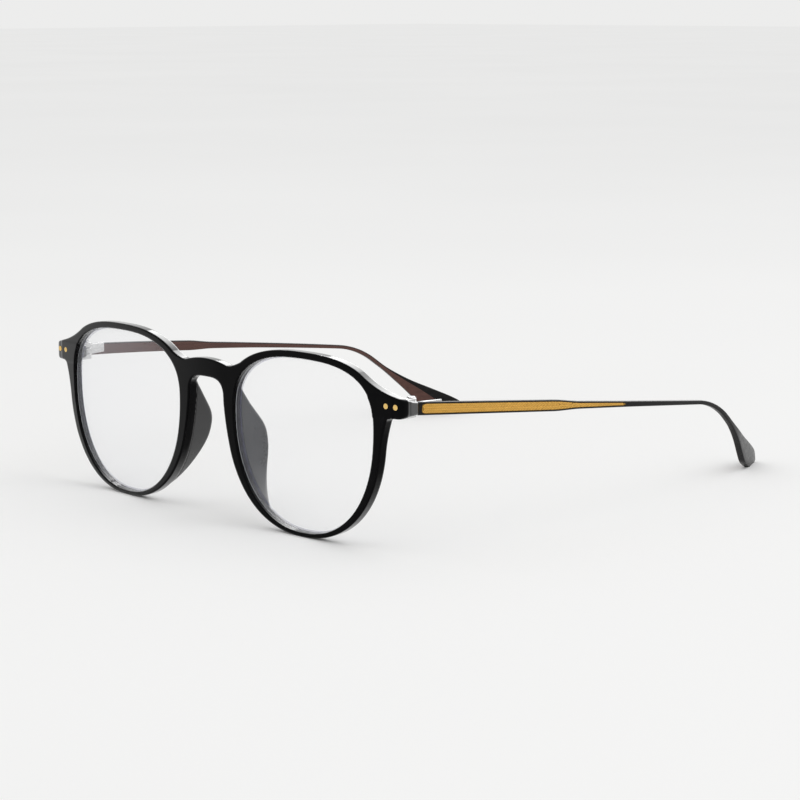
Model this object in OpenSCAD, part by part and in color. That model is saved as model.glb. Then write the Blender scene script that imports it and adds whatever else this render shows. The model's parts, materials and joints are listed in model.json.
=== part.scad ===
// Eyeglasses: a glossy moulded front on slim metal temples, standing open on a table.
// +X is the wearer's left, -Y is the way the wearer looks, +Z is up, millimetres.
// The front and both temple tips stand on z = 0.

/* [Lens opening] */
// Width of each lens opening
lens_w = 47.6; // [42:0.2:58]
// Height of the opening above its widest line
lens_rise = 14.7; // [12:0.1:18]
// Depth of the opening below its widest line
lens_drop = 28; // [23:0.1:34]
// Distance between the two openings across the nose
nose_gap = 21; // [18:0.1:24]
// Squareness of the upper temple-side corner (2 is an ellipse)
corner_temple_top = 2.75; // [2:0.05:3.4]
// Squareness of the upper nose-side corner
corner_nose_top = 2.4; // [2:0.05:3.4]
// Squareness of the lower temple-side corner
corner_temple_bottom = 2.25; // [2:0.05:3]
// Squareness of the lower nose-side corner
corner_nose_bottom = 2.2; // [2:0.05:3]

/* [Front] */
// Thickness of the front, face to back
front_t = 2.6; // [2.4:0.1:3.6]
// Radius of the front's bow, seen from above
bow_r = 700; // [400:10:900]
// Rim width beside the temple
rim_w_temple = 2.3; // [2:0.1:3.5]
// Rim width beside the nose
rim_w_nose = 2.9; // [2:0.1:3.2]
// Rim width at the top
rim_w_top = 1.7; // [1.2:0.1:2.5]
// Rim width at the bottom
rim_w_bottom = 1.1; // [1:0.05:2]

/* [Bridge] */
// Height of the bridge's top edge above the widest line of the lenses
bridge_top = 11.2; // [10.5:0.1:13]
// Fall of the bridge's top edge from its middle to the rims
bridge_fall = 1.0; // [0.4:0.1:2]
// Height of the nose arch's crown above the widest line
arch_top = 6.5; // [5:0.1:8]
// Height of the nose arch's feet above the widest line
arch_foot = -0.3; // [-1.5:0.1:1]
// Width of the nose arch between its feet
arch_w = 13.6; // [12:0.1:16]

/* [End pieces] */
// Reach of each end piece beyond the rim
lug_reach = 6.7; // [5.5:0.1:8]
// Top of the end piece's face, above the widest line
lug_top = 8.4; // [8:0.1:9.6]
// Bottom of the end piece's face, above the widest line
lug_bottom = 3.6; // [3:0.1:4.2]
// Depth from the front face at the nose to the temple joint
joint_y = 10.3; // [9.8:0.1:12.5]
// Distance from the end of the end piece in to the temple's outer face
lug_tuck = 1.5; // [1:0.1:2.5]

/* [Temples] */
// Height of the temple at the joint
temple_h = 3.2; // [2.8:0.05:4.5]
// Height of the decorated panel at its far end
shoulder_h = 2.85; // [2.6:0.05:4]
// Height of the temple just past the shoulder
neck_h = 1.95; // [1.7:0.05:2.4]
// Height of the temple where the panel ends
arm_h = 1.5; // [1.3:0.05:1.9]
// Height of the temple at the ear bend
bend_h = 1.1; // [1:0.05:1.5]
// Thickness of the temple
temple_t = 1.2; // [1:0.05:1.6]
// Distance from the joint to the shoulder
shoulder_y = 43; // [34:1:54]
// Distance from the joint to the end of the panel
panel_y = 68; // [62:0.5:84]
// Distance from the joint to the ear bend
bend_y = 100; // [88:0.5:122]
// Slope of the blade at the joint, in degrees downwards
temple_fall = 4.8; // [3:0.1:6]
// Further fall of the blade by the ear bend, as a parabola
bend_drop = 2.1; // [1:0.1:4]
// Outward bow of each temple, halfway along
temple_bow = 5.2; // [2:0.1:8]
// Inward turn of the tip, in degrees seen from above
tip_turn = 24.5; // [10:1:28]
// Radius of the ear bend
bend_r = 28; // [16:0.5:34]
// Slope of the tip below the horizontal, in degrees
tip_fall = 38; // [32:0.5:46]
// Width of the paddle-shaped tip
tip_w = 5.2; // [4:0.1:6.4]
// Thickness of the paddle-shaped tip
tip_t = 1.8; // [1.6:0.1:3]
// Width of the black border around the panel
panel_border = 0.4; // [0.3:0.02:0.6]

/* [Hinges] */
// Radius of the hinge barrel
barrel_r = 1.25; // [1:0.05:1.5]
// Height of each outer knuckle
outer_knuckle_h = 1.3; // [1:0.05:1.6]
// Height of the middle knuckle
mid_knuckle_h = 1.5; // [1.2:0.05:2]
// Radius of the hinge screw
screw_r = 0.6; // [0.5:0.05:0.7]
// Thickness of each hinge washer
washer_t = 0.15; // [0.1:0.01:0.2]

/* [Fittings] */
// Radius of the rivet heads
rivet_r = 0.69; // [0.6:0.01:0.9]
// Distance between the two rivets of an end piece
rivet_pitch = 2.9; // [2.4:0.1:3.4]
// Thickness of the lens
lens_t = 1.5; // [1.3:0.1:1.7]
// Radius of the lens's front surface
lens_r = 265; // [200:5:400]
// Reach of the nose pads behind the front
pad_reach = 8.1; // [6:0.1:10]

/* [Hidden] */
FACES = ["lens", "nose_pad", "rivet_inner", "rivet_outer", "hinge_front", "hinge_temple",
         "hinge_screw", "hinge_washer_upper", "hinge_washer_lower", "temple", "temple_inlay"];
$fn = 48;

// Lens openings. eq_z is the height of their widest line.
eq_z = lens_drop + rim_w_bottom;
lens_x = (nose_gap + lens_w) / 2;
lens_mid_z = eq_z + (lens_rise - lens_drop) / 2;
outline_step = 5;
bevel_out = 0.6;
groove_out = 0.66;
groove_t = 0.9;
bevel_t = 0.8;
lens_play = 0.05;
lens_inset = 0.15;

// End pieces and the joint
rim_x = lens_x + lens_w / 2 + rim_w_temple;
lug_x = rim_x + lug_reach;
temple_x = lug_x - lug_tuck;
joint_gap = 0.06;
temple_top_z = eq_z + 6.85;
hinge_z = temple_top_z - temple_h / 2;
lug_back_y = joint_y - 2;
lug_corner = 1.5;
lip_gap = 0.25;

// Hinge
axis_x = temple_x - temple_t - lip_gap - barrel_r;
hinge_play = 0.03;
screw_fit = 0.015;
mid_bore_play = 0.03;
stack_h = 2 * outer_knuckle_h + mid_knuckle_h + 2 * washer_t + 4 * hinge_play;
stack_z = hinge_z - stack_h / 2;
washer_low_z = stack_z + outer_knuckle_h + hinge_play;
mid_z = washer_low_z + washer_t + hinge_play;
washer_high_z = mid_z + mid_knuckle_h + hinge_play;
upper_z = washer_high_z + washer_t + hinge_play;
leaf_w = 3.0;
leaf_h = 3.5;
leaf_t = 1.1;
leaf_play = 0.02;
arm_reach = 1.35;
arm_inset = 0.7;
temple_leaf_l = 7.5;
blade_gap = lip_gap + barrel_r - arm_inset;
temple_leaf_h = 2.7;
screw_head_r = 1.0;
screw_head_h = 0.35;
slot_w = 0.25;
slot_d = 0.2;

// Rivets, one pair in each end piece
rivet_z = eq_z + (lug_top + lug_bottom) / 2 + 0.35;
rivet_mid_x = lug_x - 3.5;
rivet_head_h = 0.16;
rivet_shank_r = 0.5;
rivet_depth = 2.2;
rivet_fit = 0.01;

// Inlay panel of the temple
inlay_start = 0.95;
inlay_pocket = 0.3;
inlay_t = 0.26;
inlay_corner = 0.7;

// The whole: the origin is midway between the front face and the temple tips
floor_z = -temple_top_z;
turn_y = bend_y + 12;
bow_end = 0.62;
plan_end = temple_bow / turn_y * (4 - 2 * bow_end);
turn_gain = tan(tip_turn) - plan_end;
plan_grow = (tip_t - temple_t) / 2;
leaf_lean = plan_x(turn_y / 9) / (turn_y / 9);
leg_y = bend_y + bend_r * (sin(tip_fall) - sin(slope(bend_y)));
leg_z = centre_z(bend_y) - bend_r * (cos(slope(bend_y)) - cos(tip_fall));
foot_y = leg_y + (leg_z - floor_z) / tan(tip_fall);
toe_run = 5.2;
temple_reach = foot_y + toe_run;
depth = joint_y + joint_gap + temple_reach;
mid_y = depth / 2;
toe_centre_y = joint_y + joint_gap + foot_y + 1.8 - mid_y;
toe_centre_x = temple_x + plan_x(foot_y + 1.8) - temple_t / 2;

function bow_y(x, back = 0) = bow_r - sqrt(pow(bow_r - back, 2) - x * x);
function power(v, n) = sign(v) * pow(abs(v), 2 / n);

// One point of a lens outline, a from 0 (temple) through 90 (top), grown outwards by g = [x, top, bottom]
function lens_point(a, g) =
    let (c = cos(a), s = sin(a),
         n = s > 0 ? (c > 0 ? corner_temple_top : corner_nose_top)
                   : (c > 0 ? corner_temple_bottom : corner_nose_bottom),
         rx = lens_w / 2 + (c > 0 ? g[0] : g[1]),
         rz = s > 0 ? lens_rise + g[2] : lens_drop + g[3])
    [lens_x + rx * power(c, n), eq_z + rz * power(s, n)];
function lens_outline(g) = [for (a = [0:outline_step:359]) lens_point(a, [g, g, g, g])];
RIM = [rim_w_temple, rim_w_nose, rim_w_top, rim_w_bottom];

// Distance from the middle to a lens outline's nose side, at height z
function nose_side_x(z, gx, gz) =
    let (n = z > eq_z ? corner_nose_top : corner_nose_bottom,
         rz = z > eq_z ? lens_rise + gz : lens_drop + gz,
         k = 1 - pow(min(1, abs(z - eq_z) / rz), n))
    lens_x - (lens_w / 2 + gx) * pow(max(0, k), 1 / n);

// A quadratic curve from a to c, pulled towards b, without its first point
function curve(a, b, c, steps) =
    [for (i = [1:steps]) let (t = i / steps) (1 - t) * (1 - t) * a + 2 * t * (1 - t) * b + t * t * c];

// Half of the front's outline, from the top of the bridge round to the crown of the nose arch
bridge_w = 15.2;
function bridge_point(x) = [x, eq_z + bridge_top - bridge_fall * pow(2 * x / bridge_w, 2)];
rim_join_top = 139;
lug_join_top = 48;
lug_join_bottom = -8;
lug_low = [rim_x + 3.2, eq_z + lug_bottom - 0.05];
rim_flare = [rim_x + 1.45, eq_z + lug_bottom - 1.4];
arch_power = 3.4;
HALF = concat(
    [for (i = [0:4]) bridge_point(bridge_w / 2 * i / 4)],
    curve(bridge_point(bridge_w / 2), [9.1, eq_z + bridge_top - 1.5], lens_point(rim_join_top, RIM), 5),
    [for (a = [rim_join_top - 4:-4:lug_join_top]) lens_point(a, RIM)],
    curve(lens_point(lug_join_top, RIM), [rim_x - 2.2, eq_z + lug_top + 1.8],
          [rim_x + 2.9, eq_z + lug_top + 0.6], 5),
    [[lug_x - lug_corner, eq_z + lug_top]],
    curve([lug_x - lug_corner, eq_z + lug_top], [lug_x, eq_z + lug_top - 0.2],
          [lug_x, eq_z + lug_top - 1.6], 5),
    [[lug_x, eq_z + lug_bottom + 1.6]],
    curve([lug_x, eq_z + lug_bottom + 1.6], [lug_x, eq_z + lug_bottom],
          [lug_x - 1.6, eq_z + lug_bottom - 0.05], 5),
    [lug_low],
    curve(lug_low, [rim_x + 1.75, eq_z + lug_bottom - 0.15], rim_flare, 5),
    curve(rim_flare, [rim_x + 0.2, eq_z - 1.6], lens_point(lug_join_bottom, RIM), 5),
    [for (a = [lug_join_bottom - 4:-4:-176]) lens_point(a, RIM)],
    [for (a = [0:11.25:90]) [arch_w / 2 * power(cos(a), arch_power),
                             eq_z + arch_foot + (arch_top - arch_foot) * power(sin(a), arch_power)]]);

// A pair of shapes is drawn for +X and mirrored for -X
module side(s) mirror([s < 0 ? 1 : 0, 0, 0]) children();
module seat() translate([0, -mid_y, 0]) children();
module along_y(y0, y1) translate([0, y1, 0]) rotate([90, 0, 0]) linear_extrude(y1 - y0) children();

// Plan of an end piece: straight in from the face, a rounded outer corner, then back to the joint
LUG_CORNER = concat(
    [[lug_x - 2.4, -1], [lug_x - 2.4, bow_y(lug_x - 2.4) - 0.1]],
    curve([lug_x - 2.4, bow_y(lug_x - 2.4) - 0.1], [lug_x - 0.1, bow_y(lug_x)],
          [lug_x, bow_y(lug_x) + 1.9], 6));
module lug_plan()
    polygon(concat(
        [[0, -1]], LUG_CORNER,
        [[temple_x, joint_y], [temple_x - temple_t - 0.05, joint_y],
         [temple_x - temple_t - 0.05, lug_back_y], [rim_x, lug_back_y],
         [rim_x - 1.6, bow_y(rim_x, front_t)], [0, bow_y(rim_x, front_t)]]));

// Side view of an end piece, tapering back to the height of the temple
module lug_side()
    polygon([[bow_y(rim_x) - 1, eq_z + lug_bottom - 0.4], [bow_y(lug_x), eq_z + lug_bottom - 0.4],
             [joint_y - 3.2, eq_z + lug_bottom + 0.1], [joint_y, temple_top_z - temple_h],
             [joint_y, temple_top_z], [joint_y - 2.5, temple_top_z + 0.5],
             [bow_y(lug_x) + 1, eq_z + lug_top + 0.1], [bow_y(rim_x) - 1, eq_z + lug_top + 0.7]]);

module lug_block() intersection() {
    linear_extrude(2 * eq_z) lug_plan();
    translate([rim_x - 1.6, 0, 0]) rotate([90, 0, 90]) linear_extrude(lug_reach + 2) lug_side();
}

module front_plate() intersection() {
    along_y(-1, joint_y) polygon(concat(HALF, [for (i = [len(HALF) - 2:-1:1]) [-HALF[i][0], HALF[i][1]]]));
    translate([0, bow_r, -1]) difference() {
        cylinder(r = bow_r, h = 3 * eq_z, $fn = 360);
        translate([0, 0, -1]) cylinder(r = bow_r - front_t, h = 3 * eq_z + 2, $fn = 360);
    }
    trim_plan();
}

// Both end pieces' outer corners, as one plan that trims the plate
module trim_plan() linear_extrude(3 * eq_z) union() {
    trim_half();
    mirror([1, 0]) trim_half();
}
module trim_half()
    polygon(concat([[-1, -1]], LUG_CORNER, [[lug_x, joint_y], [-1, joint_y]]));

// A shell of the lens's curve, from depth d0 to d1 behind the vertex, for the +X lens
lens_lean = asin(lens_x / bow_r);
module lens_shell(d0, d1)
    translate([lens_x - lens_r * sin(lens_lean),
               bow_y(lens_x) + lens_inset + lens_r * cos(lens_lean), lens_mid_z])
        difference() {
            sphere(r = lens_r - d0, $fn = 180);
            sphere(r = lens_r - d1, $fn = 180);
        }
module lens_cut(g, d0, d1) intersection() {
    along_y(-2, joint_y) polygon(lens_outline(g));
    lens_shell(d0, d1);
}

module rivet_place(x)
    translate([x, bow_y(x), rivet_z]) rotate([0, 0, asin(x / bow_r)]) rotate([-90, 0, 0]) children();

module front_frame() color("black") seat() difference() {
    union() {
        front_plate();
        side(1) lug_block();
        side(-1) lug_block();
    }
    for (s = [1, -1]) side(s) {
        along_y(-2, joint_y) polygon(lens_outline(0));
        lens_cut(groove_out, (lens_t - groove_t) / 2, (lens_t + groove_t) / 2);
        for (x = [-0.5, 0.5])
            rivet_place(rivet_mid_x + x * rivet_pitch)
                translate([0, 0, -1])
                    cylinder(r = rivet_shank_r + rivet_fit, h = rivet_depth + 1.1, $fn = 24);
        leaf_block(leaf_play);
    }
}

module lens(s) color("aliceblue", 0.4) seat() side(s) union() {
    lens_cut(-lens_play, 0, lens_t);
    lens_cut(bevel_out, (lens_t - bevel_t) / 2, (lens_t + bevel_t) / 2);
}

// Nose pad: a ridge swept round an axis behind the lens, cut to the rim's nose side and to its side view.
// Each row of PAD_SIDE is [height above the widest line, share of the reach].
pad_top = 3.6;
pad_bottom = -24.4;
PAD_SIDE = [[3.6, 0.14], [2, 0.29], [0, 0.45], [-1, 0.55], [-2.5, 0.7], [-4, 0.84], [-5.5, 0.95], [-7, 1],
            [-9, 1], [-11, 0.97], [-13, 0.88], [-15, 0.76], [-17, 0.64], [-19, 0.51], [-21, 0.37],
            [-24.4, 0.12]];
pad_axis_z = eq_z - 4.6;
pad_ridge_at = lens_w / 2 + 0.3;
pad_ridge_r = 1.0;
pad_sink = 0.2;
module pad_band() intersection() {
    polygon(concat([for (z = [pad_top + 1:-1.5:pad_bottom - 2])
                        [nose_side_x(eq_z + z, 0, 0) - 0.1, eq_z + z]],
                   [for (z = [pad_bottom - 2:1.5:pad_top + 1])
                        [nose_side_x(eq_z + z, rim_w_nose, rim_w_bottom) + 0.1, eq_z + z]]));
    translate([0, eq_z + pad_bottom]) square([lens_x, pad_top - pad_bottom]);
}
module pad_ring() translate([lens_x, 0, pad_axis_z]) rotate([-90, 0, 0]) rotate_extrude($fn = 96)
    polygon(concat(
        [[lens_w / 2 - 1.2, 0], [pad_ridge_at + 4.5, 0], [pad_ridge_at + 3.2, front_t + 1],
         [pad_ridge_at + pad_ridge_r, front_t + pad_reach - pad_ridge_r]],
        [for (a = [30:30:150]) [pad_ridge_at + pad_ridge_r * cos(a),
                                front_t + pad_reach + pad_ridge_r * (sin(a) - 1)]],
        [[pad_ridge_at - pad_ridge_r, front_t + pad_reach - pad_ridge_r],
         [lens_w / 2 - 1.2, front_t + 1]]));
module nose_pad(s) color("black") seat() side(s) intersection() {
    pad_ring();
    along_y(1, joint_y + 3) pad_band();
    translate([0, 0, eq_z]) rotate([90, 0, 90]) linear_extrude(lens_x)
        polygon(concat([[1, pad_bottom - 1], [1, pad_top + 1], [front_t + 0.14 * pad_reach, pad_top + 1]],
                       [for (p = PAD_SIDE) [front_t + p[1] * pad_reach, p[0]]],
                       [[front_t + 0.12 * pad_reach, pad_bottom - 1]]));
    translate([0, bow_r, 0]) cylinder(r = bow_r - front_t + pad_sink, h = 3 * eq_z, $fn = 360);
}

module rivet(s, x) color("gold") seat() side(s) rivet_place(rivet_mid_x + x * rivet_pitch) {
    cylinder(r = rivet_shank_r, h = rivet_depth, $fn = 24);
    translate([0, 0, -rivet_head_h]) cylinder(r = rivet_r, h = rivet_head_h, $fn = 32);
}

// Front half of the hinge: a plate let into the end piece, with the two outer knuckles
module leaf_block(play)
    translate([axis_x + barrel_r - leaf_w - play, lug_back_y - leaf_t - play, hinge_z - leaf_h / 2 - play])
        cube([leaf_w + 2 * play, leaf_t + (play > 0 ? 1 : 0) + play, leaf_h + 2 * play]);
module outer_knuckle(z) {
    translate([axis_x, joint_y, z]) cylinder(r = barrel_r, h = outer_knuckle_h);
    translate([axis_x - barrel_r, lug_back_y - 0.2, z]) cube([2 * barrel_r, 2.2, outer_knuckle_h]);
}
module hinge_front(s) color("silver") seat() side(s) difference() {
    union() {
        leaf_block(0);
        outer_knuckle(stack_z);
        outer_knuckle(upper_z);
    }
    translate([axis_x, joint_y, stack_z - 1]) cylinder(r = screw_r + screw_fit, h = stack_h + 2);
}

// Temple half of the hinge: the middle knuckle and its arm, soldered to the blade's inner face
module hinge_temple(s) color("silver") seat() side(s) difference() {
    union() {
        translate([axis_x, joint_y, mid_z]) cylinder(r = barrel_r, h = mid_knuckle_h);
        translate([axis_x + arm_inset - 0.5, joint_y + 0.1, mid_z])
            cube([blade_gap + 0.5, arm_reach + 0.4, mid_knuckle_h]);
        translate([axis_x + arm_inset, joint_y, hinge_z - temple_leaf_h / 2])
            linear_extrude(temple_leaf_h) polygon([
                [0, arm_reach], [0.1 + leaf_lean * temple_leaf_l, temple_leaf_l],
                [blade_gap + leaf_lean * temple_leaf_l, temple_leaf_l],
                [blade_gap + leaf_lean * arm_reach, arm_reach]]);
    }
    translate([axis_x, joint_y, mid_z - 1]) cylinder(r = screw_r + mid_bore_play, h = mid_knuckle_h + 2);
}

module hinge_screw(s) color("silver") seat() side(s) translate([axis_x, joint_y, stack_z]) difference() {
    union() {
        cylinder(r = screw_r, h = stack_h + 0.05);
        translate([0, 0, stack_h]) cylinder(r = screw_head_r, h = screw_head_h);
    }
    translate([-screw_head_r - 1, -slot_w / 2, stack_h + screw_head_h - slot_d])
        cube([2 * screw_head_r + 2, slot_w, slot_d + 1]);
}

module hinge_washer(s, z) color("silver") seat() side(s) translate([axis_x, joint_y, z]) difference() {
    cylinder(r = barrel_r - 0.1, h = washer_t);
    translate([0, 0, -1]) cylinder(r = screw_r + mid_bore_play, h = washer_t + 2);
}

// Temple. Its own frame has the joint's top outer corner at the origin, y back and z up.
module temple_place() translate([temple_x, joint_y + joint_gap, temple_top_z]) children();

// Height of the temple at y, and the height of its centreline
STATIONS = [[0, temple_h], [shoulder_y, shoulder_h], [shoulder_y + 6.5, neck_h],
            [panel_y, arm_h], [bend_y, bend_h]];
function centre_z(y) = -temple_h / 2 - y * tan(temple_fall) - bend_drop * pow(y / bend_y, 2);
function slope(y) = atan(tan(temple_fall) + 2 * bend_drop * y / bend_y / bend_y);
// Each entry is [y, z, slope, height] on the centreline, joint to leg
SPINE = concat(
    [for (s = STATIONS) [s[0], centre_z(s[0]), slope(s[0]), s[1]]],
    [for (i = [1:6]) let (a0 = slope(bend_y), a = a0 + (tip_fall - a0) * i / 6)
        [bend_y + bend_r * (sin(a) - sin(a0)), centre_z(bend_y) - bend_r * (cos(a0) - cos(a)),
         a, bend_h + 0.15 * i / 6]]);
function edge(p, k) = [p[0] + k * p[3] / 2 * sin(p[2]), p[1] + k * p[3] / 2 * cos(p[2])];
// A point on the upper (w > 0) or lower edge of the tip, at a share of the way to the floor
function leg_point(share, w) =
    edge([leg_y + share * (foot_y - leg_y), leg_z - share * (leg_z - floor_z), tip_fall, abs(w)], sign(w));
heel = [foot_y + 1.9, floor_z + 4.8];
toe = [foot_y - 1.4, floor_z];
module temple_side()
    polygon(concat(
        [for (p = SPINE) edge(p, 1)],
        [leg_point(0.18, 1.6), leg_point(0.45, 3.6), heel],
        curve(heel, [temple_reach - 0.9, floor_z + 3.2], [temple_reach, floor_z + 0.5], 4),
        [[temple_reach - 0.4, floor_z], toe],
        curve(toe, [toe[0] - 2.2, toe[1] + 0.1], leg_point(0.7, -tip_w), 4),
        [leg_point(0.42, -2.7), leg_point(0.18, -1.3)],
        [for (i = [len(SPINE) - 1:-1:1]) edge(SPINE[i], -1)],
        [[0, -temple_h]]));

// Plan: x of the outer face at y. A parabola bows it outwards, then the tip turns in.
function plan_x(y) =
    let (t = min(y, turn_y) / turn_y, u = max(0, y - turn_y))
    4 * temple_bow * t * (1 - t) + bow_end * temple_bow * t * t
        - plan_end * u - turn_gain * (u < 12 ? u * u / 24 : u - 6);
PLAN_Y = concat([for (i = [0:9]) turn_y * i / 9], [for (u = [3, 6, 9, 12]) turn_y + u],
                [temple_reach + 1]);
function plan_side(k) = [for (y = PLAN_Y)
    [plan_x(y) + (k > 0 ? 0 : -temple_t) + k * plan_grow * min(1, max(0, y - bend_y) / 25), y]];
module temple_plan() polygon(concat(plan_side(1), [for (i = [len(PLAN_Y) - 1:-1:0]) plan_side(-1)[i]]));

// Outline of the inlay, inside the border, with rounded corners at the joint end
PANEL = [for (y = [inlay_start + inlay_corner, shoulder_y, shoulder_y + 6.5, panel_y - arm_h / 2])
    [y, lookup(y, STATIONS) / 2 - panel_border]];
function panel_edge(p, k) = [p[0], centre_z(p[0]) + k * p[1]];
module inlay_shape(inset)
    polygon(concat(
        [for (a = [0:30:90]) [PANEL[0][0] - inlay_corner * sin(90 - a) + inset * cos(a),
            centre_z(PANEL[0][0]) + PANEL[0][1] - inlay_corner * (1 - sin(a)) - inset * sin(a)]],
        [for (i = [1:len(PANEL) - 1]) panel_edge(PANEL[i] - [0, inset], 1)],
        [[PANEL[3][0] + 0.45, centre_z(PANEL[3][0])]],
        [for (i = [len(PANEL) - 1:-1:1]) panel_edge(PANEL[i] - [0, inset], -1)],
        [for (a = [90:-30:0]) [PANEL[0][0] - inlay_corner * sin(90 - a) + inset * cos(a),
            centre_z(PANEL[0][0]) - PANEL[0][1] + inlay_corner * (1 - sin(a)) + inset * sin(a)]]));

// A band along the outer face, from depth d0 to d1, cut to the inlay's outline
module inlay_band(inset, d0, d1) intersection() {
    translate([-2, 0, 0]) rotate([90, 0, 90]) linear_extrude(temple_bow + 6) inlay_shape(inset);
    translate([0, 0, floor_z]) linear_extrude(-2 * floor_z)
        polygon(concat([for (y = PLAN_Y) [plan_x(y) - d0, y]],
                       [for (i = [len(PLAN_Y) - 1:-1:0]) [plan_x(PLAN_Y[i]) - d1, PLAN_Y[i]]]));
}

module temple(s) color("dimgray") seat() side(s) temple_place() difference() {
    intersection() {
        translate([-30, 0, 0]) rotate([90, 0, 90]) linear_extrude(50) temple_side();
        translate([0, 0, 2 * floor_z]) linear_extrude(-3 * floor_z) temple_plan();
    }
    inlay_band(0, -1, inlay_pocket);
}

module temple_inlay(s) color("goldenrod") seat() side(s) temple_place()
    inlay_band(0.02, inlay_pocket - inlay_t, inlay_pocket);

module lens_left() lens(1);
module lens_right() lens(-1);
module nose_pad_left() nose_pad(1);
module nose_pad_right() nose_pad(-1);
module rivet_inner_left() rivet(1, -0.5);
module rivet_inner_right() rivet(-1, -0.5);
module rivet_outer_left() rivet(1, 0.5);
module rivet_outer_right() rivet(-1, 0.5);
module hinge_front_left() hinge_front(1);
module hinge_front_right() hinge_front(-1);
module hinge_temple_left() hinge_temple(1);
module hinge_temple_right() hinge_temple(-1);
module hinge_screw_left() hinge_screw(1);
module hinge_screw_right() hinge_screw(-1);
module hinge_washer_upper_left() hinge_washer(1, washer_high_z);
module hinge_washer_upper_right() hinge_washer(-1, washer_high_z);
module hinge_washer_lower_left() hinge_washer(1, washer_low_z);
module hinge_washer_lower_right() hinge_washer(-1, washer_low_z);
module temple_left() temple(1);
module temple_right() temple(-1);
module temple_inlay_left() temple_inlay(1);
module temple_inlay_right() temple_inlay(-1);

front_frame();
lens_left();
lens_right();
nose_pad_left();
nose_pad_right();
rivet_inner_left();
rivet_inner_right();
rivet_outer_left();
rivet_outer_right();
hinge_front_left();
hinge_front_right();
hinge_temple_left();
hinge_temple_right();
hinge_screw_left();
hinge_screw_right();
hinge_washer_upper_left();
hinge_washer_upper_right();
hinge_washer_lower_left();
hinge_washer_lower_right();
temple_left();
temple_right();
temple_inlay_left();
temple_inlay_right();
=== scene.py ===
"""Folding eyeglasses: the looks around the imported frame, as an add-on that is run as a script."""

import json
import math

import bmesh
import bpy
import numpy as np
from bpy.props import FloatProperty, FloatVectorProperty, PointerProperty
from mathutils import Matrix, Vector


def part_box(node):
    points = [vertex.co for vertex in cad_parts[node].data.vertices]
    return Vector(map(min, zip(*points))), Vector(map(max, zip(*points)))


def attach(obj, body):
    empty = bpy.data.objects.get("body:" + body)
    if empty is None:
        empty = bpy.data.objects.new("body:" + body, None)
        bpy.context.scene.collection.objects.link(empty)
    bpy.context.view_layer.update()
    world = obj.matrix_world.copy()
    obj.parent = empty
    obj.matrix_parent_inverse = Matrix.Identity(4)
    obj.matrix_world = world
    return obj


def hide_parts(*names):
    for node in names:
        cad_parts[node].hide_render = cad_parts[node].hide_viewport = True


bl_info = {
    "name": "Folding eyeglasses",
    "version": (1, 0, 0),
    "blender": (4, 5, 0),
    "location": "3D View > Sidebar > Eyeglasses",
    "description": "Makes the front, lenses, temples and fittings of a pair of folding eyeglasses",
    "category": "Object",
}

MM = 0.001
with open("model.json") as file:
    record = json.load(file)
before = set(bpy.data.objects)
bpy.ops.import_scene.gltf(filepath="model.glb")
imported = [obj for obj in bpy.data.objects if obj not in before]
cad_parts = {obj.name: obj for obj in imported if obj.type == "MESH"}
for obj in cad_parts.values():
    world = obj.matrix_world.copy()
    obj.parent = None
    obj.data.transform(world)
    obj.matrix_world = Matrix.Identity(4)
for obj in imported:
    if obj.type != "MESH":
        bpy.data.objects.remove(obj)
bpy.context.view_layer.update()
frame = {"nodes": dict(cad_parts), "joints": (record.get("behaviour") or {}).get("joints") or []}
FACE_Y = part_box("front_frame")[0].y / MM  # the front face at the nose
LEFT_FOLD = next(joint for joint in frame["joints"] if joint["child"] == "left_temple")
AXIS = [v / MM for v in LEFT_FOLD["pos_m"]]  # the left hinge's screw
SIDES = (("left", 1), ("right", -1))

TEMPLE_RISE = 6.85  # top of the temple at the joint, above the lenses' widest line
TEMPLE_H = 3.2  # height of the temple at the joint
NOISE_SPAN = (0.3, 0.7)  # the part of a noise texture's range that is used
GRAIN_DEPTH = 0.03 * MM
POLISH_DEPTH = 0.02 * MM
MESH_MERGE = 1e-7  # metres between two vertices that are one
CAD_MERGE = 1e-6
OUTSIDE = 4.0  # stands for any distance too far away to matter


def length(name, default, text, **more):
    return FloatProperty(name=name, default=default, description=text, **more)


def colour(name, default, text):
    return FloatVectorProperty(
        name=name, default=default, description=text, size=3, subtype="COLOR", min=0, max=1)


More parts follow.
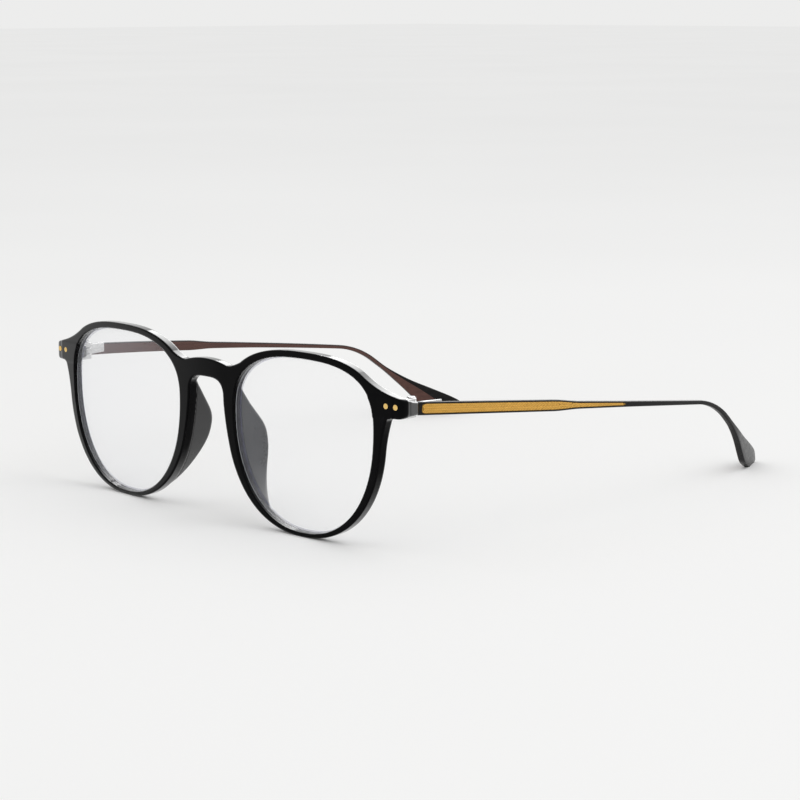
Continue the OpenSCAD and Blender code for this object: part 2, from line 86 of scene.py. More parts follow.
class FrontSizes(bpy.types.PropertyGroup):
    """Sizes of the moulded front, in millimetres."""

    lens_w: length("Lens width", 47.6, "Width of each lens opening")
    lens_rise: length("Lens rise", 14.7, "Height of the opening above its widest line")
    lens_drop: length("Lens drop", 28.0, "Depth of the opening below its widest line")
    nose_gap: length("Nose gap", 21.0, "Distance between the two openings")
    corner_temple_top: length("Upper temple corner", 2.75, "Squareness of the upper temple-side corner")
    corner_nose_top: length("Upper nose corner", 2.4, "Squareness of the upper nose-side corner")
    corner_temple_bottom: length("Lower temple corner", 2.25, "Squareness of the lower temple-side corner")
    corner_nose_bottom: length("Lower nose corner", 2.2, "Squareness of the lower nose-side corner")
    front_t: length("Thickness", 2.6, "Thickness of the front")
    bow_r: length("Bow radius", 700.0, "Radius of the front's bow, seen from above")
    rim_temple: length("Rim by the temple", 2.3, "Rim width beside the temple")
    rim_nose: length("Rim by the nose", 2.9, "Rim width beside the nose")
    rim_top: length("Upper rim", 1.7, "Rim width at the top")
    rim_bottom: length("Lower rim", 1.1, "Rim width at the bottom")
    bridge_top: length("Bridge top", 11.2, "Height of the bridge above the widest line")
    bridge_fall: length("Bridge fall", 1.0, "Fall of the bridge from its middle to the rims")
    arch_top: length("Arch crown", 6.5, "Height of the nose arch above the widest line")
    arch_foot: length("Arch foot", -0.3, "Height of the arch's feet above the widest line")
    arch_w: length("Arch width", 13.6, "Width of the nose arch")
    lug_reach: length("End piece reach", 6.7, "Reach of each end piece beyond the rim")
    lug_top: length("End piece top", 8.4, "Top of the end piece's face, above the widest line")
    lug_bottom: length("End piece bottom", 3.6, "Bottom of the end piece's face, above the widest line")
    lug_tuck: length("End piece taper", 1.5, "How far the end piece draws in towards the temple")
    pad_reach: length("Pad reach", 8.1, "Reach of the nose pads behind the front")
    grain: length("Mesh step", 0.23, "Step of the mesh on the front", min=0.1)


class TempleSizes(bpy.types.PropertyGroup):
    """Sizes of the temples, in millimetres and degrees."""

    joint_h: length("Height at the joint", TEMPLE_H, "Height of the temple at the joint")
    shoulder_h: length("Shoulder height", 2.85, "Height of the panel at its far end")
    neck_h: length("Neck height", 1.95, "Height just past the shoulder")
    arm_h: length("Arm height", 1.5, "Height where the panel ends")
    bend_h: length("Bend height", 1.1, "Height at the ear bend")
    thick: length("Thickness", 1.2, "Thickness of the blade")
    shoulder_y: length("To the shoulder", 43.0, "Distance from the joint to the shoulder")
    panel_y: length("To the panel's end", 68.0, "Distance from the joint to the panel's end")
    bend_y: length("To the ear bend", 100.0, "Distance from the joint to the ear bend")
    fall: length("Slope", 4.8, "Slope of the blade at the joint, in degrees")
    drop: length("Further fall", 2.1, "Further fall of the blade by the ear bend")
    bow: length("Outward bow", 5.2, "Outward bow of the temple, halfway along")
    turn: length("Inward turn", 24.5, "Inward turn of the tip, in degrees")
    bend_r: length("Bend radius", 28.0, "Radius of the ear bend")
    tip_fall: length("Tip slope", 38.0, "Slope of the tip, in degrees")
    tip_w: length("Tip width", 5.2, "Width of the paddle-shaped tip")
    tip_t: length("Tip thickness", 1.8, "Thickness of the tip")
    border: length("Panel border", 0.4, "Width of the border round the panel")
    bar_pitch: length("Herringbone pitch", 0.5, "Distance between the bars of the herringbone")
    bar_rise: length("Herringbone relief", 0.06, "Height of the bars above the panel's ground")


class Finishes(bpy.types.PropertyGroup):
    """Colours of the materials."""

    front: colour("Front", (0.0013, 0.0013, 0.0016), "Black of the moulded front")
    lacquer: colour("Lacquer", (0.006, 0.0055, 0.0055), "Black of the temples' outside")
    brown: colour("Inside", (0.085, 0.038, 0.030), "Brown of the temples' inside")
    gold: colour("Gold", (0.93, 0.53, 0.12), "Gold of the panels")
    rivet: colour("Rivets", (0.86, 0.58, 0.20), "Gold of the rivets")
    steel: colour("Steel", (0.66, 0.66, 0.66), "Nickel-plated hinge metal")
    # The lens tint is painted reflection: the coating's pale sheen, let through at low angles by the
    # lens's alpha.
    lens: colour("Lens", (0.84, 0.86, 0.92), "Tint of the lens coating")
    floor: colour("Floor", (0.955, 0.955, 0.955), "Table top")


def sizes():
    scene = bpy.context.scene
    return scene.front_sizes, scene.temple_sizes, scene.finishes


# ---------------------------------------------------------------- materials


class Nodes:
    """A material under construction, with short calls for its nodes and links."""

    def __init__(self, name):
        self.material = bpy.data.materials.new(name)
        self.material.use_nodes = True
        self.tree = self.material.node_tree
        self.shader = self.tree.nodes["Principled BSDF"]

    def add(self, kind, **settings):
        node = self.tree.nodes.new("ShaderNode" + kind)
        for key, value in settings.items():
            if key in node.inputs:
                node.inputs[key].default_value = value
            else:
                setattr(node, key, value)
        return node

    def link(self, a, out, b, into):
        self.tree.links.new(a.outputs[out], b.inputs[into])

    def set(self, **values):
        for key, value in values.items():
            socket = self.shader.inputs[key.replace("_", " ")]
            is_colour = hasattr(value, "__len__") and len(value) == 3
            socket.default_value = (*value, 1.0) if is_colour else value
        return self

    def noise(self, scale, detail=3.0, stretch=(1, 1, 1)):
        place = self.add("TexCoord")
        mapping = self.add("Mapping")
        mapping.inputs["Scale"].default_value = stretch
        texture = self.add("TexNoise", Scale=scale, Detail=detail)
        self.link(place, "Object", mapping, "Vector")
        self.link(mapping, "Vector", texture, "Vector")
        return texture

    def ranged(self, source, out, socket, span, low, high):
        """Drives a socket by a node's output, moved from span to low and high."""
        ranger = self.add("MapRange")
        for key, value in zip(("From Min", "From Max", "To Min", "To Max"), (*span, low, high)):
            ranger.inputs[key].default_value = value
        self.link(source, out, ranger, "Value")
        self.link(ranger, "Result", self.shader, socket)

    def vary(self, texture, socket, low, high):
        self.ranged(texture, "Fac", socket, NOISE_SPAN, low, high)

    def tint(self, texture, low, high):
        ramp = self.add("ValToRGB")
        for stop, position, rgb in zip(ramp.color_ramp.elements, NOISE_SPAN, (low, high)):
            stop.position, stop.color = position, (*rgb, 1)
        self.link(texture, "Fac", ramp, "Fac")
        self.link(ramp, "Color", self.shader, "Base Color")

    def sheer(self, socket, start, end, low, high):
        """Drives a socket by how flatly the surface is seen: 0 straight on, 1 at the edge of sight."""
        facing = self.add("LayerWeight", Blend=0.5)
        self.ranged(facing, "Facing", socket, (start, end), low, high)

    def bump(self, texture, strength, distance):
        bump = self.add("Bump", Strength=strength, Distance=distance)
        self.link(texture, "Fac", bump, "Height")
        self.link(bump, "Normal", self.shader, "Normal")


def scaled(rgb, k):
    return tuple(min(1.0, c * k) for c in rgb)


def polished_black(name, base):
    """Deep black resin under a polish that shows at low angles."""
    m = Nodes(name).set(Roughness=0.1, IOR=1.5, Specular_IOR_Level=0.05)
    m.set(Coat_Roughness=0.04, Coat_IOR=1.6)
    cloud = m.noise(260)
    m.tint(cloud, scaled(base, 0.7), scaled(base, 1.4))
    m.vary(cloud, "Roughness", 0.07, 0.14)
    m.bump(m.noise(2400, 2), 0.02, POLISH_DEPTH)
    m.sheer("Coat Weight", 0.36, 0.56, 0.0, 1.0)
    return m.material


def pad_satin(base):
    """Black resin with a softer polish."""
    m = Nodes("pad_satin").set(IOR=1.55, Specular_IOR_Level=0.45)
    cloud = m.noise(300)
    m.tint(cloud, scaled(base, 1.5), scaled(base, 3.5))
    m.vary(cloud, "Roughness", 0.26, 0.36)
    m.bump(m.noise(2800, 2), 0.04, POLISH_DEPTH)
    return m.material


def temple_lacquer(base):
    """Thin black lacquer, its grain drawn along the blade."""
    m = Nodes("temple_lacquer").set(Metallic=0.0, Specular_IOR_Level=0.14)
    grain = m.noise(900, 3, (1, 0.15, 1))
    m.tint(grain, scaled(base, 0.7), scaled(base, 1.6))
    m.vary(grain, "Roughness", 0.2, 0.3)
    m.bump(grain, 0.05, GRAIN_DEPTH)
    return m.material


def temple_brown(base):
    """Warm brown plating, brushed along the blade."""
    m = Nodes("temple_brown").set(Metallic=0.35, Specular_IOR_Level=0.4)
    grain = m.noise(1300, 4, (1, 0.06, 1))
    m.tint(grain, scaled(base, 0.82), scaled(base, 1.2))
    m.vary(grain, "Roughness", 0.34, 0.46)
    m.bump(grain, 0.08, GRAIN_DEPTH)
    return m.material


def plated(name, base, low, high, scale, stretch=(1, 1, 1), relief=0.05):
    """Plated metal with a fine grain, its roughness between low and high."""
    m = Nodes(name).set(Metallic=1.0)
    grain = m.noise(scale, 3, stretch)
    m.tint(grain, scaled(base, 0.86), scaled(base, 1.06))
    m.vary(grain, "Roughness", low, high)
    m.bump(grain, relief, GRAIN_DEPTH)
    return m.material


def lens_clear(tint):
    """Clear lens; more of its pale base colour shows at low angles, a painted reflection of the coating on
    top of the shader's own reflection.
    """
    m = Nodes("lens_clear").set(Base_Color=tint, Roughness=0.02, IOR=1.5, Specular_IOR_Level=0.35)
    m.bump(m.noise(40, 2), 0.01, POLISH_DEPTH)
    # Painted reflection: the pale base colour shows more at low angles.
    m.sheer("Alpha", 0.3, 1.0, 0.03, 0.3)
    return m.material


def lens_edge():
    """The ground edge, sunk in the groove."""
    m = Nodes("lens_edge").set(Roughness=0.2, IOR=1.5, Alpha=0.3)
    cloud = m.noise(1500)
    m.tint(cloud, (0.03, 0.03, 0.04), (0.08, 0.08, 0.11))
    m.bump(cloud, 0.1, GRAIN_DEPTH)
    return m.material


def painted_coating_reflection():
    """A painted reflection: the blue-violet line that the lens coating reflects at the very edge, painted
    on as colour.
    """
    m = Nodes("painted_coating_reflection").set(Roughness=0.1, IOR=1.5, Alpha=0.4)
    cloud = m.noise(900)
    m.tint(cloud, (0.30, 0.31, 0.62), (0.44, 0.45, 0.80))
    return m.material


def painted_bevel_highlight():
    """A painted highlight: the thin bright line that the polished bevel reflects, painted on as colour."""
    m = Nodes("painted_bevel_highlight").set(Roughness=0.1, IOR=1.5, Alpha=0.5)
    cloud = m.noise(700)
    m.tint(cloud, (0.55, 0.57, 0.60), (0.85, 0.87, 0.90))
    return m.material


def table_top(base):
    """Matt pale table top."""
    m = Nodes("table_top").set(Roughness=0.9, Specular_IOR_Level=0.0)
    cloud = m.noise(3, 2)
    m.tint(cloud, scaled(base, 0.99), scaled(base, 1.01))
    return m.material


# ---------------------------------------------------------------- mesh tools


def new_piece(name, verts, faces, materials, indices=None):
    """A mesh object from vertices in millimetres, measured from the front face at the nose."""
    mesh = bpy.data.meshes.new(name)
    verts = (np.asarray(verts, float) + (0, FACE_Y, 0)) * MM
    mesh.from_pydata(verts.tolist(), [], [list(map(int, f)) for f in faces])
    for material in materials:
        mesh.materials.append(material)
    if indices is not None:
        mesh.polygons.foreach_set("material_index", np.asarray(indices, np.int32))
    mesh.polygons.foreach_set("use_smooth", np.full(len(mesh.polygons), True))
    mesh.update()
    piece = bpy.data.objects.new(name, mesh)
    bpy.context.scene.collection.objects.link(piece)
    return piece


def mend(piece):
    """Merges doubles and turns every face outwards."""
    bm = bmesh.new()
    bm.from_mesh(piece.data)
    bmesh.ops.remove_doubles(bm, verts=bm.verts, dist=MESH_MERGE)
    bmesh.ops.recalc_face_normals(bm, faces=bm.faces)
    bm.to_mesh(piece.data)
    bm.free()
    return piece


def sharpen(piece, degrees):
    """Smooth shading, broken at edges sharper than the given angle."""
    bm = bmesh.new()
    bm.from_mesh(piece.data)
    for face in bm.faces:
        face.smooth = True
    for edge in bm.edges:
        edge.smooth = len(edge.link_faces) == 2 and edge.calc_face_angle(0.0) < math.radians(degrees)
    bm.to_mesh(piece.data)
    bm.free()
    return piece


def settle(piece, body, slot, *nodes):
    """Rides a piece on its body and hides the CAD nodes that it stands for; the slot is not used."""
    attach(piece, body)
    if nodes:
        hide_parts(*nodes)
    return piece


def softened(node, material, width):
    """A copy of a fitting with its hard edges slightly rounded."""
    flat, hard, shading = math.radians(1), math.radians(30), 35
    piece = bpy.data.objects.new(node + "_finished", frame["nodes"][node].data.copy())
    bpy.context.scene.collection.objects.link(piece)
    bm = bmesh.new()
    bm.from_mesh(piece.data)
    bmesh.ops.remove_doubles(bm, verts=bm.verts, dist=CAD_MERGE)
    bmesh.ops.dissolve_limit(bm, angle_limit=flat, verts=bm.verts, edges=bm.edges)
    bm.to_mesh(piece.data)
    bm.free()
    piece.data.materials.clear()
    piece.data.materials.append(material)
    bevel = piece.modifiers.new("round", "BEVEL")
    bevel.width = width * MM
    bevel.segments = 2
    bevel.limit_method = "ANGLE"
    bevel.angle_limit = hard
    graph = bpy.context.evaluated_depsgraph_get()
    mesh = bpy.data.meshes.new_from_object(piece.evaluated_get(graph))
    piece.modifiers.clear()
    piece.data = mesh
    return sharpen(piece, shading)


def join_round(a, b, r):
    """Both solids at once, with their common edge rounded to radius r."""
    return np.minimum(np.maximum(a, b), -r) + np.hypot(np.maximum(a + r, 0), np.maximum(b + r, 0))


def merge_soft(a, b, k):
    """Either solid, with a fillet of about k where they meet."""
    h = np.clip(0.5 + 0.5 * (b - a) / k, 0, 1)
    return b * (1 - h) + a * h - k * h * (1 - h)


def outline_distance(px, py, points, closed=True):
    """Signed distance to an outline, negative inside.

    One that isn't closed ends on x = 0 at both ends, and that line isn't an edge."""
    pts = np.asarray(points, float)
    a, b = pts, np.roll(pts, -1, 0)
    shape = np.broadcast(px, py).shape
    qx, qy = np.broadcast_to(px, shape).ravel(), np.broadcast_to(py, shape).ravel()
    out, batch = np.empty(qx.size), 20000
    seg = slice(None) if closed else slice(0, -1)
    for i in range(0, qx.size, batch):
        x, y = qx[i : i + batch, None], qy[i : i + batch, None]
        ax, ay = a[seg, 0], a[seg, 1]
        dx, dy = b[seg, 0] - ax, b[seg, 1] - ay
        t = np.clip(((x - ax) * dx + (y - ay) * dy) / (dx * dx + dy * dy), 0, 1)
        d = np.sqrt(((x - ax - t * dx) ** 2 + (y - ay - t * dy) ** 2).min(1))
        cross = (a[:, 1] > y) != (b[:, 1] > y)
        with np.errstate(divide="ignore", invalid="ignore"):
            at = a[:, 0] + (y - a[:, 1]) * (b[:, 0] - a[:, 0]) / (b[:, 1] - a[:, 1])
        inside = (cross & (x < at)).sum(1) % 2 == 1
        out[i : i + batch] = np.where(inside, -d, d)
    return out.reshape(shape)


def near_only(near, distance, a, b, outline, far):
    """distance(a, b, outline) where near is true, and a fixed value elsewhere."""
    a, b = np.broadcast_arrays(a, b)
    near = np.broadcast_to(near, a.shape)
    out = np.full(a.shape, far)
    out[near] = distance(a[near], b[near], outline)
    return out


def skin_of(field, low, high, step, mirrored=False):
    """A closed mesh over the zero surface of a field, its vertices moved onto the surface.

    A mirrored field is the same on both sides of x = 0, so only one side is worked out."""
    axes = [np.arange(lo, hi + step, step) for lo, hi in zip(low, high)]
    if mirrored:
        half = int(math.ceil(high[0] / step))
        axes[0] = np.arange(-half, half + 1) * step
        kept = axes[0][half:]
    else:
        kept = axes[0]
    grid = field(kept[:, None, None], axes[1][None, :, None], axes[2][None, None, :])
    grid = grid.astype(np.float32)
    if mirrored:
        grid = np.concatenate([grid[:0:-1], grid])
    inside = grid < 0
    nx, ny, nz = grid.shape
    total = np.zeros((nx - 1, ny - 1, nz - 1), np.int8)
    for i in (0, 1):
        for j in (0, 1):
            for k in (0, 1):
                total += inside[i : nx - 1 + i, j : ny - 1 + j, k : nz - 1 + k]
    # One vertex for each cell that the surface passes through.
    cells = np.argwhere((total > 0) & (total < 8))
    number = np.full(total.shape, -1, np.int64)
    number[tuple(cells.T)] = np.arange(len(cells))
    points, count = np.zeros((len(cells), 3)), np.zeros((len(cells), 1))
    faces = []
    for axis in range(3):
        u, v = [a for a in range(3) if a != axis]
        step_axis = np.eye(3, dtype=int)[axis]
        for du in (0, 1):
            for dv in (0, 1):
                corner = cells.copy()
                corner[:, u] += du
                corner[:, v] += dv
                f0, f1 = grid[tuple(corner.T)], grid[tuple((corner + step_axis).T)]
                hit = (f0 < 0) != (f1 < 0)
                t = np.where(hit, f0 / np.where(hit, f0 - f1, 1), 0)
                place = corner.astype(float)
                place[:, axis] += t
                points += np.where(hit[:, None], place, 0)
                count += hit[:, None]
        # One face for each grid edge that the surface crosses.
        lower = [slice(None)] * 3
        upper = [slice(None)] * 3
        lower[axis], upper[axis] = slice(0, -1), slice(1, None)
        s0, s1 = inside[tuple(lower)], inside[tuple(upper)]
        edges = np.argwhere(s0 != s1)
        limit = np.array(total.shape)
        ok = (edges[:, u] > 0) & (edges[:, v] > 0)
        ok &= (edges[:, u] < limit[u]) & (edges[:, v] < limit[v])
        edges = edges[ok]
        start_in = s0[tuple(edges.T)]
        ring = []
        for du, dv in ((-1, -1), (0, -1), (0, 0), (-1, 0)):
            c = edges.copy()
            c[:, u] += du
            c[:, v] += dv
            ring.append(number[tuple(c.T)])
        quad = np.stack(ring, 1)
        flip = start_in if axis != 1 else ~start_in
        quad[~flip] = quad[~flip][:, ::-1]
        faces.append(quad)
    points = points / count * step + np.array([a[0] for a in axes])
    mine = cells[:, 0] >= half if mirrored else np.full(len(cells), True)
    work = points[mine]
    passes, probe, least_slope, longest_move = 3, 0.02, 0.05, 0.6 * step
    for _ in range(passes):
        value = field(*work.T)
        slope = np.stack([(field(*(work + probe * e).T) - value) / probe for e in np.eye(3)], 1)
        steepness = np.maximum((slope**2).sum(1, keepdims=True), least_slope)
        move = value[:, None] * slope / steepness
        size = np.linalg.norm(move, axis=1, keepdims=True)
        work = work - move * np.minimum(1, longest_move / np.maximum(size, 1e-9))
    points[mine] = work
    if mirrored:
        twin = cells[mine].copy()
        twin[:, 0] = 2 * half - 1 - twin[:, 0]
        points[number[tuple(twin.T)]] = work * (-1, 1, 1)
    return points, np.concatenate(faces)


# ---------------------------------------------------------------- the front


# The nose pad's ridge: height from the lenses' widest line, and share of the pad's full reach.
PAD_RIDGE = [(-28, -0.12), (-24.4, 0.1), (-21, 0.36), (-19, 0.5), (-17, 0.63), (-15, 0.76),
             (-13, 0.88), (-11, 0.965), (-9, 1.0), (-7, 0.995), (-5.5, 0.94), (-4, 0.84),
             (-2.5, 0.7), (-1, 0.56), (0, 0.46), (2, 0.29), (3.6, 0.14), (6, -0.08)]
NOSE_DRAFT, LENS_DRAFT = 0.19, 0.085  # how fast the pad's two sides close towards its ridge
PAD_ROUND = 0.95


class Front:
    """The front's outlines and its solid, as the part has them."""

    def __init__(self, s):
        self.s = s
        self.eq_z = s.lens_drop + s.rim_bottom
        self.lens_x = (s.nose_gap + s.lens_w) / 2
        self.rim_x = self.lens_x + s.lens_w / 2 + s.rim_temple
        self.lug_x = self.rim_x + s.lug_reach
        self.temple_x = self.lug_x - s.lug_tuck
        self.joint_y = AXIS[1] - FACE_Y
        self.top_z = self.eq_z + TEMPLE_RISE
        self.low_z = self.top_z - TEMPLE_H
        self.outline = self.make_outline()
        self.corner = self.corner_plan()
        self.block = self.block_plan()
        self.side = self.block_side()

    def bow(self, x, back=0.0):
        """y of the bowed face at x, or of the surface that lies back behind it."""
        return self.s.bow_r - math.sqrt((self.s.bow_r - back) ** 2 - x * x)

    def lens_point(self, degrees, grow):
        """A point round the opening, grown by (temple side, nose side, top, bottom)."""
        s, a = self.s, math.radians(degrees)
        c, v = math.cos(a), math.sin(a)
        if v > 0:
            n = s.corner_temple_top if c > 0 else s.corner_nose_top
        else:
            n = s.corner_temple_bottom if c > 0 else s.corner_nose_bottom
        rx = s.lens_w / 2 + (grow[0] if c > 0 else grow[1])
        rz = s.lens_rise + grow[2] if v > 0 else s.lens_drop + grow[3]
        power = lambda q: math.copysign(abs(q) ** (2 / n), q)
        return (self.lens_x + rx * power(c), self.eq_z + rz * power(v))

    def opening(self, x, z):
        """Distance to a lens opening, negative inside it."""
        s = self.s
        u, v = np.abs(x) - self.lens_x, z - self.eq_z
        n = np.where(v > 0, np.where(u > 0, s.corner_temple_top, s.corner_nose_top),
                     np.where(u > 0, s.corner_temple_bottom, s.corner_nose_bottom))
        rx, rz = s.lens_w / 2, np.where(v > 0, s.lens_rise, s.lens_drop)
        a, b = np.maximum(np.abs(u) / rx, 1e-6), np.maximum(np.abs(v) / rz, 1e-6)
        f = (a**n + b**n) ** (1 / n)
        gx = (a / f) ** (n - 1) / rx
        gz = (b / f) ** (n - 1) / rz
        return (f - 1) / np.sqrt(gx * gx + gz * gz)

    def make_outline(self):
        """Half of the outline, from the top of the bridge round to the crown of the nose arch."""
        s, eq = self.s, self.eq_z
        rim = (s.rim_temple, s.rim_nose, s.rim_top, s.rim_bottom)
        half_bridge = 7.6
        bridge = lambda x: (x, eq + s.bridge_top - s.bridge_fall * (x / half_bridge) ** 2)
        point = lambda a: self.lens_point(a, rim)
        lx, lug_x = self.rim_x, self.lug_x
        low, flare = (lx + 3.2, eq + s.lug_bottom - 0.05), (lx + 1.45, eq + s.lug_bottom - 1.4)
        pts = [bridge(half_bridge * i / 8) for i in range(9)]
        pts += quad_curve(bridge(half_bridge), (9.1, eq + s.bridge_top - 1.5), point(139), 10)
        pts += [point(a) for a in np.arange(137, 48.5, -2)]
        shoulder = (lx + 2.9, eq + s.lug_top + 0.6)
        pts += quad_curve(point(48), (lx - 2.2, eq + s.lug_top + 1.8), shoulder, 12)
        pts += [(lug_x - 1.5, eq + s.lug_top)]
        corner = (lug_x, eq + s.lug_top - 1.6)
        pts += quad_curve(pts[-1], (lug_x, eq + s.lug_top - 0.2), corner, 8)
        pts += [(lug_x, eq + s.lug_bottom + 1.6)]
        corner = (lug_x - 1.6, eq + s.lug_bottom - 0.05)
        pts += quad_curve(pts[-1], (lug_x, eq + s.lug_bottom), corner, 8)
        pts += [low]
        pts += quad_curve(low, (lx + 1.75, eq + s.lug_bottom - 0.15), flare, 8)
        pts += quad_curve(flare, (lx + 0.2, eq - 1.6), point(-8), 8)
        pts += [point(a) for a in np.arange(-10, -165, -2)]
        arch_corner = 3.4
        pts += quad_curve(point(-164), (7.3, eq - 4.4), (s.arch_w / 2, eq + s.arch_foot + 0.5), 14)
        for a in np.radians(np.arange(18, 90.1, 6)):
            c, v = (max(q, 0) ** (2 / arch_corner) for q in (math.cos(a), math.sin(a)))
            pts.append((s.arch_w / 2 * c, eq + s.arch_foot + (s.arch_top - s.arch_foot) * v))
        pts[-1] = (0.0, eq + s.arch_top)
        return pts

    def face_turn(self):
        """Plan points where the face turns back at the outer corner."""
        x, b = self.lug_x, self.bow(self.lug_x)
        start = (x - 2.4, self.bow(x - 2.4) - 0.1)
        return [(x - 2.4, -9), start] + quad_curve(start, (x - 0.1, b), (x, b + 1.9), 8)

    def corner_plan(self):
        """Plan of the front's outer corner."""
        back = self.joint_y + 6
        return [(-5, -9)] + self.face_turn() + [(self.lug_x, back), (-5, back)]

    def block_plan(self):
        """Plan of the end piece's block behind the front, which carries the hinge."""
        j, root = self.joint_y, self.rim_x - 4
        inner = self.temple_x - 1.25
        back = self.bow(self.rim_x, self.s.front_t)
        return [(root, -9)] + self.face_turn() + [
            (self.temple_x, j), (inner, j), (inner, j - 2), (self.rim_x, j - 2),
            (self.rim_x - 1.6, back), (root, back - 1.2)]

    def block_side(self):
        """Side view of the same block."""
        s, eq, j = self.s, self.eq_z, self.joint_y
        f = self.bow(self.lug_x)
        return [(-6, eq + s.lug_bottom - 0.4), (f, eq + s.lug_bottom - 0.4),
                (j - 3.2, eq + s.lug_bottom + 0.1), (j, self.low_z),
                (j, self.top_z), (j - 2.5, self.top_z + 0.5),
                (f + 1, eq + s.lug_top + 0.1), (-6, eq + s.lug_top + 0.9)]

    def pad_top(self, z):
        """Depth of the nose pad's ridge at height z."""
        at, share = np.array(PAD_RIDGE).T
        fine, reach = np.linspace(at[0], at[-1], 400), 12
        kernel = np.hanning(2 * reach + 3)
        kernel = kernel[1:-1] / kernel.sum()
        smooth = np.convolve(np.pad(np.interp(fine, at, share), reach, "edge"), kernel, "valid")
        return self.s.front_t + self.s.pad_reach * np.interp(z - self.eq_z, fine, smooth)

    def solid(self, x, y, z, outer, opening):
        """Signed field of the front and its pads, from the distances to its two flat outlines."""
        s = self.s
        ax = np.abs(x)
        depth = s.bow_r - np.hypot(x, s.bow_r - y)
        behind = depth - s.front_t
        plate = np.maximum(join_round(outer, -depth, 0.28), join_round(outer, behind, 0.5))
        rim = np.maximum(join_round(-opening, -depth, 0.25), join_round(-opening, behind, 0.3))
        plate = np.maximum(plate, rim)
        plate = join_round(plate, self.flat_corner(ax, y), 0.8)
        block = join_round(self.flat_block(ax, y), self.flat_side(y, z), 0.45)
        block = join_round(block, 0.15 - depth, 0.3)
        block = join_round(block, outer + 0.1, 0.4)
        block = np.maximum(block, -opening)
        whole = merge_soft(plate, block, 0.5)
        back = np.maximum(y - s.front_t, 0)
        nose_side = (outer + 0.02 + NOSE_DRAFT * back) * 0.98
        lens_side = -(opening - 0.02 + LENS_DRAFT * back) * 0.996
        top = (y - self.pad_top(z)) * 0.75
        ridge = join_round(np.maximum(nose_side, lens_side), top, PAD_ROUND)
        pad = np.maximum(np.maximum(ridge, 0.9 - y), ax - self.lens_x)
        return np.minimum(whole, pad)

    def flat_corner(self, ax, y):
        return near_only(ax > self.lug_x - 7, outline_distance, ax, y, self.corner, -OUTSIDE)

    def flat_block(self, ax, y):
        return near_only(ax > self.rim_x - 6, outline_distance, ax, y, self.block, OUTSIDE)

    def flat_side(self, y, z):
        return outline_distance(y, z, self.side)

    def pocket(self, x, y, z):
        """Distance to the hinge plate's pocket, negative inside it."""
        hx, hy, hz = AXIS[0], self.joint_y, AXIS[2]
        box = [(hx - 1.8, hx + 1.3), (hy - 3.15, hy + 0.5), (hz - 1.8, hz + 1.8)]
        out = -np.inf
        for value, (lo, hi) in zip((np.abs(x), y, z), box):
            out = np.maximum(out, np.maximum(lo - value, value - hi))
        return out

    def field(self, part):
        """The field of one piece: "front", or "pad" for what stands behind the rims."""

        def evaluate(x, y, z):
            ax = np.maximum(np.abs(x), 1e-4)
            outer = outline_distance(ax, z, self.outline, closed=False)
            opening = self.opening(x, z)
            whole = self.solid(x, y, z, outer, opening)
            s, seam = self.s, 0.3
            cut = s.bow_r - np.hypot(x, s.bow_r - y) - s.front_t - seam
            if part == "pad":
                return np.maximum(whole, -cut)
            whole = np.maximum(whole, np.minimum(cut, self.lens_x - ax))
            return np.maximum(whole, -self.pocket(x, y, z))

        return evaluate


def quad_curve(a, b, c, steps):
    """A quadratic curve from a to c, pulled towards b, without its first point."""
    out = []
    for i in range(1, steps + 1):
        t = i / steps
        out.append(tuple((1 - t) ** 2 * p + 2 * t * (1 - t) * q + t * t * r for p, q, r in zip(a, b, c)))
    return out


class EYEGLASSES_OT_front(bpy.types.Operator):
    """Make the glossy moulded front and its two nose pads"""

    bl_idname = "eyeglasses.front"
    bl_label = "Front and nose pads"

    def execute(self, context):
        s, _, f = sizes()
        front = Front(s)
        room = 0.6
        low = (-front.lug_x - room, -room, -room)
        crown = front.eq_z + s.lens_rise + s.rim_top
        high = (front.lug_x + room, front.joint_y + room, crown + room)
        verts, faces = skin_of(front.field("front"), low, high, s.grain, mirrored=True)
        black = polished_black("polished_black", f.front)
        piece = sharpen(new_piece("front_moulding", verts, faces, [black]), 42)
        settle(piece, "front", "black_front", "front_frame")
        pad_black = pad_satin(f.front)
        low = (5.5, s.front_t - 0.2, 2.0)
        high = (24.0, s.front_t + s.pad_reach + 1, front.eq_z + 7)
        verts, faces = skin_of(front.field("pad"), low, high, s.grain * 0.9)
        for side, sign in SIDES:
            name = f"nose_pad_{side}_moulding"
            piece = new_piece(name, verts * (sign, 1, 1), faces[:, ::sign], [pad_black])
            settle(sharpen(piece, 42), "front", "black_pads", f"nose_pad_{side}")
        return {"FINISHED"}


